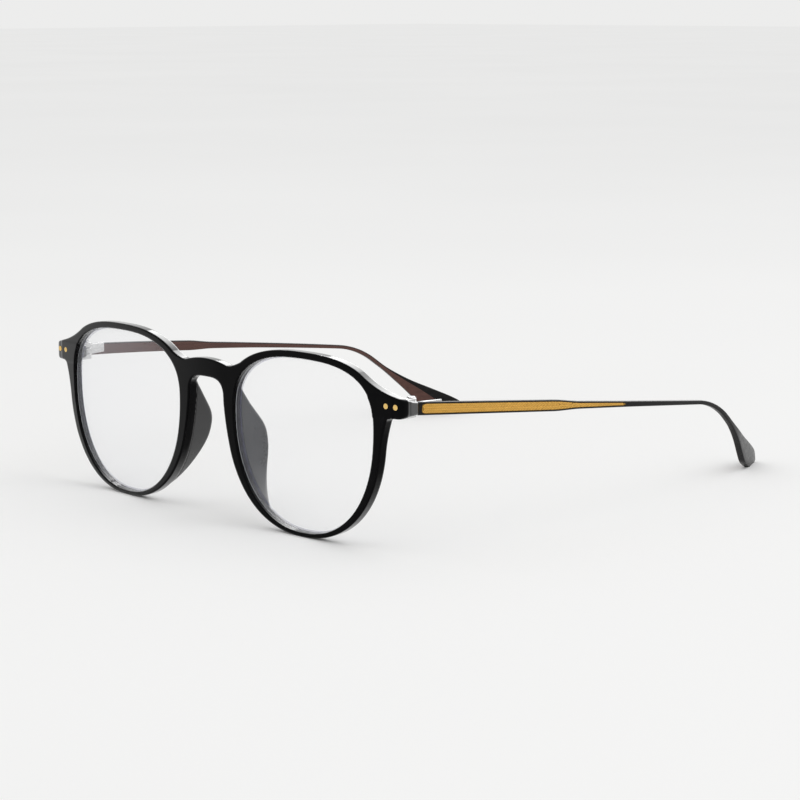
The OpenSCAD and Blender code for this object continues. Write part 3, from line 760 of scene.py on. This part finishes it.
class EYEGLASSES_OT_lenses(bpy.types.Operator):
    """Make the two clear lenses, curved front and back, with a ground edge"""

    bl_idname = "eyeglasses.lenses"
    bl_label = "Lenses"

    def execute(self, context):
        s, _, f = sizes()
        front = Front(s)
        # The last two materials paint light as colour: the coating's reflection at the back edge and the
        # bevel's highlight at the front edge.
        finishes = [lens_clear(f.lens), lens_edge(), painted_coating_reflection(), painted_bevel_highlight()]
        radius, thick, rings, around = 265.0, 1.5, 14, 144
        shares = [k / (rings - 1) * 0.988 for k in range(rings)] + [1.0]
        mid_z = front.eq_z + (s.lens_rise - s.lens_drop) / 2
        lean = math.asin(front.lens_x / s.bow_r)
        cx = front.lens_x - radius * math.sin(lean)
        cy = front.bow(front.lens_x) + 0.15 + radius * math.cos(lean)
        angles = np.linspace(0, 360, around, endpoint=False)
        rim = np.array([front.lens_point(a, (-0.03,) * 4) for a in angles])
        centre = np.array([front.lens_x, mid_z])
        for side, sign in SIDES:
            verts, faces, marks = [], [], []
            for depth in (0.0, thick):
                for k in range(rings + 1):
                    pts = centre + (rim - centre) * shares[k] if k else centre[None]
                    off = (pts[:, 0] - cx) ** 2 + (pts[:, 1] - mid_z) ** 2
                    y = cy - np.sqrt((radius - depth) ** 2 - off)
                    verts += [(sign * p[0], v, p[1]) for p, v in zip(pts, y)]
            layer = 1 + rings * around

            def at(level, k, i):
                return level * layer + (0 if k == 0 else 1 + (k - 1) * around + i % around)

            for level in (0, 1):
                for i in range(around):
                    faces.append((at(level, 0, 0), at(level, 1, i), at(level, 1, i + 1)))
                    marks.append(0)
                    for k in range(1, rings):
                        faces.append((at(level, k, i), at(level, k + 1, i),
                                      at(level, k + 1, i + 1), at(level, k, i + 1)))
                        # The front's outermost ring gets the painted highlight (3), the back's the painted
                        # coating reflection (2).
                        marks.append((3, 2)[level] if k == rings - 1 else 0)
            for i in range(around):
                faces.append((at(0, rings, i), at(1, rings, i),
                              at(1, rings, i + 1), at(0, rings, i + 1)))
                marks.append(1)
            piece = new_piece(f"lens_{side}_ground", verts, faces, finishes, marks)
            sharpen(mend(piece), 40)
            settle(piece, "front", "clear_lens", f"lens_{side}")
        return {"FINISHED"}


# ---------------------------------------------------------------- rivets and hinges


class EYEGLASSES_OT_rivets(bpy.types.Operator):
    """Make the four domed rivets"""

    bl_idname = "eyeglasses.rivets"
    bl_label = "Rivets"

    def execute(self, context):
        s, _, f = sizes()
        gold = plated("rivet_gold", f.rivet, 0.16, 0.26, 2600)
        shank_end, crown = 2.2, -0.16
        profile = [(0.50, shank_end), (0.50, 0.05), (0.68, 0.03), (0.69, -0.02), (0.67, -0.06),
                   (0.56, -0.105), (0.42, -0.135), (0.25, -0.152), (0.10, -0.158)]
        around = 40
        circle = np.linspace(0, 2 * math.pi, around, endpoint=False)
        for side, sign in SIDES:
            for which in ("inner", "outer"):
                node = f"rivet_{which}_{side}"
                low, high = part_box(node)
                mid_x, mid_z = (low.x + high.x) / 2 / MM, (low.z + high.z) / 2 / MM
                ax = abs(mid_x)
                lean = math.asin(ax / s.bow_r)
                face_y = s.bow_r - math.sqrt(s.bow_r**2 - ax * ax)
                verts = [(0, shank_end, 0)]
                for r, y in profile:
                    verts += [(r * math.cos(a), y, r * math.sin(a)) for a in circle]
                verts.append((0, crown, 0))
                c, d = math.cos(lean), math.sin(lean)
                verts = [(sign * (ax + x * c - y * d), face_y + x * d + y * c, mid_z + z)
                         for x, y, z in verts]
                faces = [(0, 1 + i, 1 + (i + 1) % around) for i in range(around)]
                last = 1 + (len(profile) - 1) * around
                for k in range(len(profile) - 1):
                    row = 1 + k * around
                    for i in range(around):
                        j = (i + 1) % around
                        faces.append((row + i, row + around + i, row + around + j, row + j))
                faces += [(last + i, last + around, last + (i + 1) % around) for i in range(around)]
                piece = mend(new_piece(node + "_dome", verts, faces, [gold]))
                settle(sharpen(piece, 50), "front", "gold_rivets", node)
        return {"FINISHED"}


class EYEGLASSES_OT_hinges(bpy.types.Operator):
    """Finish the hinge plates, knuckles, screws and washers"""

    bl_idname = "eyeglasses.hinges"
    bl_label = "Hinges"

    def execute(self, context):
        _, _, f = sizes()
        nickel = plated("hinge_nickel", f.steel, 0.22, 0.36, 2400, (1, 0.2, 1), 0.08)
        bright = plated("screw_bright", scaled(f.steel, 1.15), 0.14, 0.24, 3200)
        plain = plated("washer_plain", scaled(f.steel, 0.85), 0.3, 0.42, 3000)
        for side, _sign in SIDES:
            for stem, body, slot, material, width in (
                ("hinge_front", "front", "hinge_metal", nickel, 0.1),
                ("hinge_temple", f"{side}_temple", "hinge_metal", nickel, 0.1),
                ("hinge_screw", "front", "screw_steel", bright, 0.05),
                ("hinge_washer_upper", "front", "washer_steel", plain, 0.03),
                ("hinge_washer_lower", "front", "washer_steel", plain, 0.03),
            ):
                node = f"{stem}_{side}"
                settle(softened(node, material, width), body, slot, node)
        return {"FINISHED"}


# ---------------------------------------------------------------- temples


class Temple:
    """The temple's plan and side lines, measured from the joint's top outer corner."""

    def __init__(self, t, front):
        self.t, self.front = t, front
        self.floor = -front.top_z
        self.turn_y = t.bend_y + 12
        bow_end = 0.62
        self.bow_end = bow_end
        self.plan_end = t.bow / self.turn_y * (4 - 2 * bow_end)
        self.gain = math.tan(math.radians(t.turn)) - self.plan_end
        a0, a1 = math.radians(self.slope(t.bend_y)), math.radians(t.tip_fall)
        self.leg_y = t.bend_y + t.bend_r * (math.sin(a1) - math.sin(a0))
        self.leg_z = self.centre(t.bend_y) - t.bend_r * (math.cos(a0) - math.cos(a1))
        self.foot_y = self.leg_y + (self.leg_z - self.floor) / math.tan(a1)
        self.reach = self.foot_y + 5.2

    def centre(self, y):
        t = self.t
        return -t.joint_h / 2 - y * math.tan(math.radians(t.fall)) - t.drop * (y / t.bend_y) ** 2

    def slope(self, y):
        t = self.t
        return math.degrees(math.atan(math.tan(math.radians(t.fall)) + 2 * t.drop * y / t.bend_y**2))

    def height(self, y):
        t = self.t
        at = [0, t.shoulder_y, t.shoulder_y + 6.5, t.panel_y, t.bend_y]
        heights = [t.joint_h, t.shoulder_h, t.neck_h, t.arm_h, t.bend_h]
        return float(np.interp(y + np.linspace(-1.6, 1.6, 9), at, heights).mean())

    def plan(self, y):
        """x of the outer face at y."""
        t, b = self.t, self.bow_end
        k = np.minimum(y, self.turn_y) / self.turn_y
        u = np.maximum(0, y - self.turn_y)
        past = np.where(u < 12, u * u / 24, u - 6)
        return 4 * t.bow * k * (1 - k) + b * t.bow * k * k - self.plan_end * u - self.gain * past

    def thick(self, y):
        t = self.t
        return t.thick + (t.tip_t - t.thick) * np.clip((y - t.bend_y) / 25, 0, 1)

    def leg_point(self, share, w):
        a = math.radians(self.t.tip_fall)
        y = self.leg_y + share * (self.foot_y - self.leg_y)
        z = self.leg_z - share * (self.leg_z - self.floor)
        return (y + w / 2 * math.sin(a), z + w / 2 * math.cos(a))

    def cross_lines(self):
        """Pairs of upper and lower edge points (y, z) from joint to foot."""
        t, pairs = self.t, []

        def pair(y, z, degrees, h):
            a = math.radians(degrees)
            up = (h / 2 * math.sin(a), h / 2 * math.cos(a))
            return ((y + up[0], z + up[1]), (y - up[0], z - up[1]))

        for y in np.linspace(0, t.bend_y, 88):
            p = pair(y, self.centre(y), self.slope(y), self.height(y))
            if y == 0:
                p = ((0, 0), (0, -t.joint_h))
            pairs.append(p)
        a0 = self.slope(t.bend_y)
        for i in range(1, 21):
            a = a0 + (t.tip_fall - a0) * i / 20
            r0, ra = math.radians(a0), math.radians(a)
            y = t.bend_y + t.bend_r * (math.sin(ra) - math.sin(r0))
            z = self.centre(t.bend_y) - t.bend_r * (math.cos(r0) - math.cos(ra))
            pairs.append(pair(y, z, a, t.bend_h + 0.15 * i / 20))
        fy, fz = self.foot_y, self.floor
        tip = [pairs[-4], pairs[-1],
               (self.leg_point(0.18, 1.6), self.leg_point(0.18, -1.3)),
               (self.leg_point(0.45, 3.6), self.leg_point(0.42, -2.7)),
               ((fy - 5.0, fz + 8.15), (fy - 10.6, fz + 5.5)),
               ((fy + 1.2, fz + 5.1), (fy - 7.6, fz + 2.6)),
               ((fy + 3.9, fz + 3.2), (fy - 4.3, fz + 0.9)),
               ((self.reach - 0.35, fz + 0.7), (fy - 2.2, fz + 0.12))]
        fine = spline(np.array(tip).reshape(-1, 4), 9)[9:]
        pairs += [((p[0], p[1]), (p[2], p[3])) for p in fine[1:]]
        return pairs, len(fine) - 1

    def place(self, y, z, b):
        """A point at side-view y, z and b outwards from the blade's middle."""
        mid = self.plan(y) - self.t.thick / 2
        e = 0.05
        lean = (self.plan(y + e) - self.plan(y - e)) / (2 * e)
        n = 1 / math.sqrt(1 + lean * lean)
        f = self.front
        gap = 0.06
        return (f.temple_x + mid + b * n, f.joint_y + gap + y - b * n * lean, f.top_z + z)


def spline(points, steps):
    """Catmull-Rom through rows of numbers."""
    out = [points[0]]
    for i in range(len(points) - 1):
        p0, p1 = points[max(i - 1, 0)], points[i]
        p2, p3 = points[i + 1], points[min(i + 2, len(points) - 1)]
        for k in range(1, steps + 1):
            t = k / steps
            out.append(0.5 * (2 * p1 + (p2 - p0) * t + (2 * p0 - 5 * p1 + 4 * p2 - p3) * t * t
                              + (3 * p1 - p0 - 3 * p2 + p3) * t**3))
    return out


def panel_half(temple, y):
    """Half the panel's height at y, with rounded ends."""
    t = temple.t
    start, end = 0.95, t.panel_y
    half = temple.height(y) / 2 - t.border
    r = min(0.7, half)
    if y < start + r:
        half -= r - math.sqrt(max(0.0, r * r - (start + r - y) ** 2))
    if y > end - 1.2:
        half *= max(0.0, (end - y) / 1.2)
    return half


class EYEGLASSES_OT_temples(bpy.types.Operator):
    """Make the two temples: a slim blade with a sunk panel, an ear bend and a paddle-shaped tip"""

    bl_idname = "eyeglasses.temples"
    bl_label = "Temples"

    def execute(self, context):
        s, t, f = sizes()
        temple = Temple(t, Front(s))
        lacquer, brown = temple_lacquer(f.lacquer), temple_brown(f.brown)
        pairs, tip_count = temple.cross_lines()
        for side, sign in SIDES:
            verts, faces, marks = [], [], []
            total = len(pairs)
            rings = [self.ring(temple, up, low, n, total, tip_count)
                     for n, (up, low) in enumerate(pairs)]
            rows = [(0, self.shrunk(rings[0], 0.90, 0.78, 0.0)), *enumerate(rings)]
            rows.append((total - 1, self.shrunk(rings[-1], 0.96, 0.78, 1.0)))
            for n, ring in rows:
                up, low = np.array(pairs[n][0]), np.array(pairs[n][1])
                mid, axis = (up + low) / 2, up - low
                axis = axis / np.linalg.norm(axis)
                for a, b, on_floor in ring:
                    y, z = mid + axis * a
                    x, y, z = temple.place(y, temple.floor if on_floor else z, b)
                    verts.append((sign * x, y, max(z, 0.0)))
            size = len(rings[0])
            for r in range(len(rows) - 1):
                for i in range(size):
                    j = (i + 1) % size
                    here, beyond = r * size, (r + 1) * size
                    faces.append((here + i, here + j, beyond + j, beyond + i))
                    marks.append(self.mark(i, rows[r + 1][0], total, tip_count))
            faces.append(tuple(range(size)))
            faces.append(tuple((len(rows) - 1) * size + i for i in range(size)))
            marks += [0, 0]
            piece = new_piece(f"temple_{side}_blade", verts, faces, [lacquer, brown], marks)
            sharpen(mend(piece), 38)
            settle(piece, f"{side}_temple", "temple_paint", f"temple_{side}")
        return {"FINISHED"}

    def shrunk(self, ring, along, across, on_floor):
        """A smaller copy of a ring, for the blade's end caps."""
        return [(a * along, b * across, on_floor) for a, b, _ in ring]

    def ring(self, temple, up, low, n, total, tip_count):
        """One ring of (along the cross-line, across the blade, on the floor or not).

        It runs over the outer face, the top edge, the inner face and the bottom edge."""
        y = (up[0] + low[0]) / 2
        half = math.dist(up, low) / 2
        th = float(temple.thick(y)) / 2
        r = min(0.3, half * 0.45, th * 0.6)
        t = temple.t
        panel = panel_half(temple, y) if 0.95 < y < t.panel_y else 0.0
        sunk = 0.16 if panel > 0.05 else 0.0
        hp = panel if sunk else max(panel, half * 0.3)
        corner = [(math.sin(a), math.cos(a)) for a in np.radians([0, 30, 60, 90])]
        out = []
        for along, across in reversed(corner):
            out.append((-(half - r + r * along), th - r + r * across, 0.0))
        wall = 0.03
        out += [(-hp, th, 0.0), (-hp + wall, th - sunk, 0.0)]
        out += [(hp - wall, th - sunk, 0.0), (hp, th, 0.0)]
        for along, across in corner:
            out.append((half - r + r * along, th - r + r * across, 0.0))
        for along, across in reversed(corner):
            out.append((half - r + r * along, -(th - r + r * across), 0.0))
        tip = max(0.0, (n - (total - tip_count)) / tip_count)
        share = 1 - 0.62 * min(1.0, tip * 1.15) ** 0.8 if tip > 0 else 0.0
        crease = -half + r + (2 * half - 2 * r) * share if tip > 0 else 0.0
        out.append((crease, -th - 0.16 * min(1.0, tip * 3) * (1 - tip * 0.3), 0.0))
        for along, across in corner:
            out.append((-(half - r + r * along), -(th - r + r * across), 0.0))
        return out

    def mark(self, i, n, total, tip_count):
        """1 for the brown inside, 0 for the black outside."""
        above_crease, below_crease = i == 15, i in (16, 17, 18)
        on_blade = n <= total - tip_count
        return int(below_crease or (above_crease and on_blade))


PANEL_DEPTH, PLATE_DEPTH = 0.085, 0.158  # top and underside of the plate, below the outer face
BAR_LENGTH, BAR_WIDTH, BAR_TURN = 0.66, 0.25, 50  # one bar of the herringbone, and its slant
ROW_HEIGHT = 0.56


class EYEGLASSES_OT_inlays(bpy.types.Operator):
    """Make the gold panels and their pressed herringbone"""

    bl_idname = "eyeglasses.inlays"
    bl_label = "Gold panels"

    def execute(self, context):
        s, t, f = sizes()
        temple = Temple(t, Front(s))
        gold = plated("panel_gold", f.gold, 0.24, 0.38, 2200, (1, 0.4, 1), 0.12)
        ground = plated("panel_ground", scaled(f.gold, 0.42), 0.4, 0.55, 2600, (1, 1, 1), 0.2)
        for side, sign in SIDES:
            plate = self.plate(temple, side, sign, ground)
            bars = self.herringbone(temple, side, sign, gold)
            settle(plate, f"{side}_temple", "gold_inlay", f"temple_inlay_{side}")
            settle(bars, f"{side}_temple", "gold_inlay")
        return {"FINISHED"}

    def spot(self, temple, sign, y, a, b):
        """A point on the panel: a across it, b out from the blade's middle."""
        slope = math.radians(temple.slope(y))
        x, y, z = temple.place(y + a * math.sin(slope), temple.centre(y) + a * math.cos(slope), b)
        return (sign * x, y, z)

    def plate(self, temple, side, sign, ground):
        """The thin plate at the bottom of the panel."""
        t = temple.t
        th = t.thick / 2
        stations = np.concatenate([0.97 + 0.7 * (1 - np.cos(np.linspace(0, math.pi / 2, 7))),
                                   np.linspace(1.9, t.panel_y - 1.2, 90),
                                   np.linspace(t.panel_y - 1.0, t.panel_y - 0.08, 6)])
        across = np.linspace(-1, 1, 9)
        verts, faces = [], []
        for y in stations:
            half = max(panel_half(temple, y) - 0.04, 0.03)
            verts += [self.spot(temple, sign, y, k * half, th - PANEL_DEPTH) for k in across]
            verts += [self.spot(temple, sign, y, k * half, th - PLATE_DEPTH) for k in across[::-1]]
        n = len(across) * 2
        for r in range(len(stations) - 1):
            for i in range(n):
                j = (i + 1) % n
                faces.append((r * n + i, r * n + j, (r + 1) * n + j, (r + 1) * n + i))
        faces += [tuple(range(n)), tuple((len(stations) - 1) * n + i for i in range(n))]
        return sharpen(mend(new_piece(f"gold_panel_{side}", verts, faces, [ground])), 40)

    def herringbone(self, temple, side, sign, gold):
        """Slanted bars set on points along the panel, row by row."""
        t = temple.t
        th = t.thick / 2
        points, turns, yaws, scales = [], [], [], []
        y, margin, e = 1.5, 1.0, 0.5
        while y < t.panel_y - margin:
            half = panel_half(temple, y)
            rows = max(1, int(round(2 * half / ROW_HEIGHT)))
            pitch = 2 * half / rows
            lean = (temple.plan(y + e) - temple.plan(y - e)) / (2 * e)
            for k in range(rows):
                at = y + 0.5 * t.bar_pitch * (k % 2)
                if at > t.panel_y - margin:
                    continue
                points.append(self.spot(temple, sign, at, pitch * (k + 0.5) - half, th - PANEL_DEPTH))
                way = 1 if k % 2 else -1
                turns.append(way * math.radians(BAR_TURN) - math.radians(temple.slope(y)))
                yaws.append(-sign * math.atan(lean))
                scales.append(min(1.0, pitch / ROW_HEIGHT))
            y += t.bar_pitch
        cloud = new_piece(f"herringbone_{side}", points, [], [gold])
        for name, values in (("turn", turns), ("yaw", yaws), ("fit", scales)):
            layer = cloud.data.attributes.new(name, "FLOAT", "POINT")
            layer.data.foreach_set("value", np.array(values, np.float32))
        tree = bar_tree(f"herringbone_bars_{side}")
        modifier = cloud.modifiers.new("bars", "NODES")
        modifier.node_group = tree
        inputs = {"Bar Length": BAR_LENGTH * MM, "Bar Width": BAR_WIDTH * MM,
                  "Bar Rise": t.bar_rise * MM, "Gold": gold}
        for item in tree.interface.items_tree:
            if item.in_out == "INPUT" and item.name in inputs:
                modifier[item.identifier] = inputs[item.name]
        graph = bpy.context.evaluated_depsgraph_get()
        mesh = bpy.data.meshes.new_from_object(cloud.evaluated_get(graph))
        cloud.modifiers.clear()
        cloud.data = mesh
        if not mesh.polygons:
            raise RuntimeError("the herringbone has no bars")
        for polygon in mesh.polygons:
            polygon.use_smooth = False
        return mend(cloud)


def bar_tree(name):
    """Geometry Nodes: one small ridged bar on every point, turned by the point's own attributes."""
    tree = bpy.data.node_groups.new(name, "GeometryNodeTree")
    face = tree.interface
    face.new_socket("Geometry", in_out="INPUT", socket_type="NodeSocketGeometry")
    for label in ("Bar Length", "Bar Width", "Bar Rise"):
        face.new_socket(label, in_out="INPUT", socket_type="NodeSocketFloat")
    face.new_socket("Gold", in_out="INPUT", socket_type="NodeSocketMaterial")
    face.new_socket("Geometry", in_out="OUTPUT", socket_type="NodeSocketGeometry")
    add = lambda kind: tree.nodes.new(kind)
    link = lambda a, b: tree.links.new(a, b)
    group_in, group_out = add("NodeGroupInput"), add("NodeGroupOutput")
    cone = add("GeometryNodeMeshCone")
    cone.fill_type = "NGON"
    square_base, ridge = math.sqrt(0.5), 0.42
    for key, value in (("Vertices", 4), ("Radius Top", ridge), ("Radius Bottom", square_base),
                       ("Depth", 1.0)):
        cone.inputs[key].default_value = value
    square = add("GeometryNodeTransform")
    square.inputs["Rotation"].default_value = (0, 0, math.pi / 4)
    link(cone.outputs["Mesh"], square.inputs["Geometry"])
    size = add("ShaderNodeCombineXYZ")
    link(group_in.outputs["Bar Width"], size.inputs["X"])
    link(group_in.outputs["Bar Length"], size.inputs["Y"])
    link(group_in.outputs["Bar Rise"], size.inputs["Z"])
    shape = add("GeometryNodeTransform")
    link(square.outputs["Geometry"], shape.inputs["Geometry"])
    link(size.outputs["Vector"], shape.inputs["Scale"])
    upright = add("GeometryNodeTransform")
    upright.inputs["Rotation"].default_value = (0, math.pi / 2, 0)
    link(shape.outputs["Geometry"], upright.inputs["Geometry"])
    turn, yaw, fit = (add("GeometryNodeInputNamedAttribute") for _ in range(3))
    for node, key in ((turn, "turn"), (yaw, "yaw"), (fit, "fit")):
        node.data_type = "FLOAT"
        node.inputs["Name"].default_value = key
    spin = add("ShaderNodeCombineXYZ")
    link(turn.outputs["Attribute"], spin.inputs["X"])
    link(yaw.outputs["Attribute"], spin.inputs["Z"])
    on_points = add("GeometryNodeInstanceOnPoints")
    link(group_in.outputs["Geometry"], on_points.inputs["Points"])
    link(upright.outputs["Geometry"], on_points.inputs["Instance"])
    link(spin.outputs["Vector"], on_points.inputs["Rotation"])
    link(fit.outputs["Attribute"], on_points.inputs["Scale"])
    realize, paint = add("GeometryNodeRealizeInstances"), add("GeometryNodeSetMaterial")
    link(on_points.outputs["Instances"], realize.inputs["Geometry"])
    link(realize.outputs["Geometry"], paint.inputs["Geometry"])
    link(group_in.outputs["Gold"], paint.inputs["Material"])
    link(paint.outputs["Geometry"], group_out.inputs["Geometry"])
    return tree


# ---------------------------------------------------------------- stage


class EYEGLASSES_OT_stage(bpy.types.Operator):
    """Set the pale table top, the soft light and the camera"""

    bl_idname = "eyeglasses.stage"
    bl_label = "Table, light and camera"

    def execute(self, context):
        _, _, f = sizes()
        scene = context.scene
        mesh = bpy.data.meshes.new("table_top")
        half = 9.0
        corners = [(-half, -half, 0), (half, -half, 0), (half, half, 0), (-half, half, 0)]
        mesh.from_pydata(corners, [], [(0, 1, 2, 3)])
        mesh.materials.append(table_top(f.floor))
        floor = bpy.data.objects.new("table_top", mesh)
        scene.collection.objects.link(floor)
        world = bpy.data.worlds.new("studio")
        world.use_nodes = True
        back = world.node_tree.nodes["Background"]
        back.inputs["Color"].default_value = (0.845, 0.845, 0.84, 1)
        back.inputs["Strength"].default_value = 1.0
        scene.world = world
        scene.view_settings.view_transform = "Standard"
        self.softbox("top_softbox", (0.5, 0.3, 0.9), (0, 0, 0), 1.0, 1.6)
        self.softbox("rear_softbox", (-0.18, 0.95, 0.8), (0, 0, 0.03), 1.8, 24.0, gloss_only=True)
        self.camera(scene)
        return {"FINISHED"}

    def camera(self, scene):
        """A long lens a little above the table, turned and dipped towards the nose."""
        camera = bpy.data.objects.new("camera", bpy.data.cameras.new("camera"))
        scene.collection.objects.link(camera)
        scene.camera = camera
        turn, dip, roll = (math.radians(a) for a in (45.5, 9.957, -0.129))
        distance, aside, above = 0.57118, 0.048845, 0.005023
        flat = math.cos(dip)
        ahead = Vector((-math.sin(turn) * flat, math.cos(turn) * flat, -math.sin(dip)))
        level = Vector((math.cos(turn), math.sin(turn), 0))
        over = level.cross(ahead)
        right = math.cos(roll) * level + math.sin(roll) * over
        up = -math.sin(roll) * level + math.cos(roll) * over
        target = Vector((0, FACE_Y, 24.51)) * MM
        camera.location = target - ahead * distance + right * aside + up * above
        camera.rotation_mode = "QUATERNION"
        camera.rotation_quaternion = Matrix((right, up, -ahead)).transposed().to_quaternion()
        camera.data.lens = 102.2
        camera.data.sensor_width = 36.0
        camera.data.clip_start, camera.data.clip_end = 0.01, 60.0

    def softbox(self, name, at, towards, size, power, gloss_only=False):
        """A round soft lamp; one for gloss only shows in reflections and lights nothing else."""
        light = bpy.data.lights.new(name, "AREA")
        light.shape = "DISK"
        light.size, light.energy = size, power
        lamp = bpy.data.objects.new(name, light)
        lamp.location = at
        lamp.rotation_euler = (Vector(towards) - Vector(at)).to_track_quat("-Z", "Y").to_euler()
        lamp.visible_diffuse = not gloss_only
        bpy.context.scene.collection.objects.link(lamp)


class EYEGLASSES_PT_panel(bpy.types.Panel):
    """Buttons for the pieces, and the sizes and colours to change"""

    bl_idname = "EYEGLASSES_PT_panel"
    bl_label = "Eyeglasses"
    bl_space_type = "VIEW_3D"
    bl_region_type = "UI"
    bl_category = "Eyeglasses"

    def draw(self, context):
        for operator in OPERATORS:
            self.layout.operator(operator.bl_idname)
        for group in sizes():
            box = self.layout.box()
            for key in group.__annotations__:
                box.prop(group, key)


OPERATORS = (
    EYEGLASSES_OT_stage,
    EYEGLASSES_OT_front,
    EYEGLASSES_OT_lenses,
    EYEGLASSES_OT_rivets,
    EYEGLASSES_OT_hinges,
    EYEGLASSES_OT_temples,
    EYEGLASSES_OT_inlays,
)
GROUPS = (("front_sizes", FrontSizes), ("temple_sizes", TempleSizes), ("finishes", Finishes))


def register():
    for name, group in GROUPS:
        bpy.utils.register_class(group)
        setattr(bpy.types.Scene, name, PointerProperty(type=group))
    for operator in OPERATORS:
        bpy.utils.register_class(operator)
    bpy.utils.register_class(EYEGLASSES_PT_panel)


def unregister():
    bpy.utils.unregister_class(EYEGLASSES_PT_panel)
    for operator in reversed(OPERATORS):
        bpy.utils.unregister_class(operator)
    for name, group in reversed(GROUPS):
        delattr(bpy.types.Scene, name)
        bpy.utils.unregister_class(group)


def main():
    register()
    for operator in OPERATORS:
        group, name = operator.bl_idname.split(".")
        getattr(getattr(bpy.ops, group), name)()


if __name__ == "__main__":
    main()
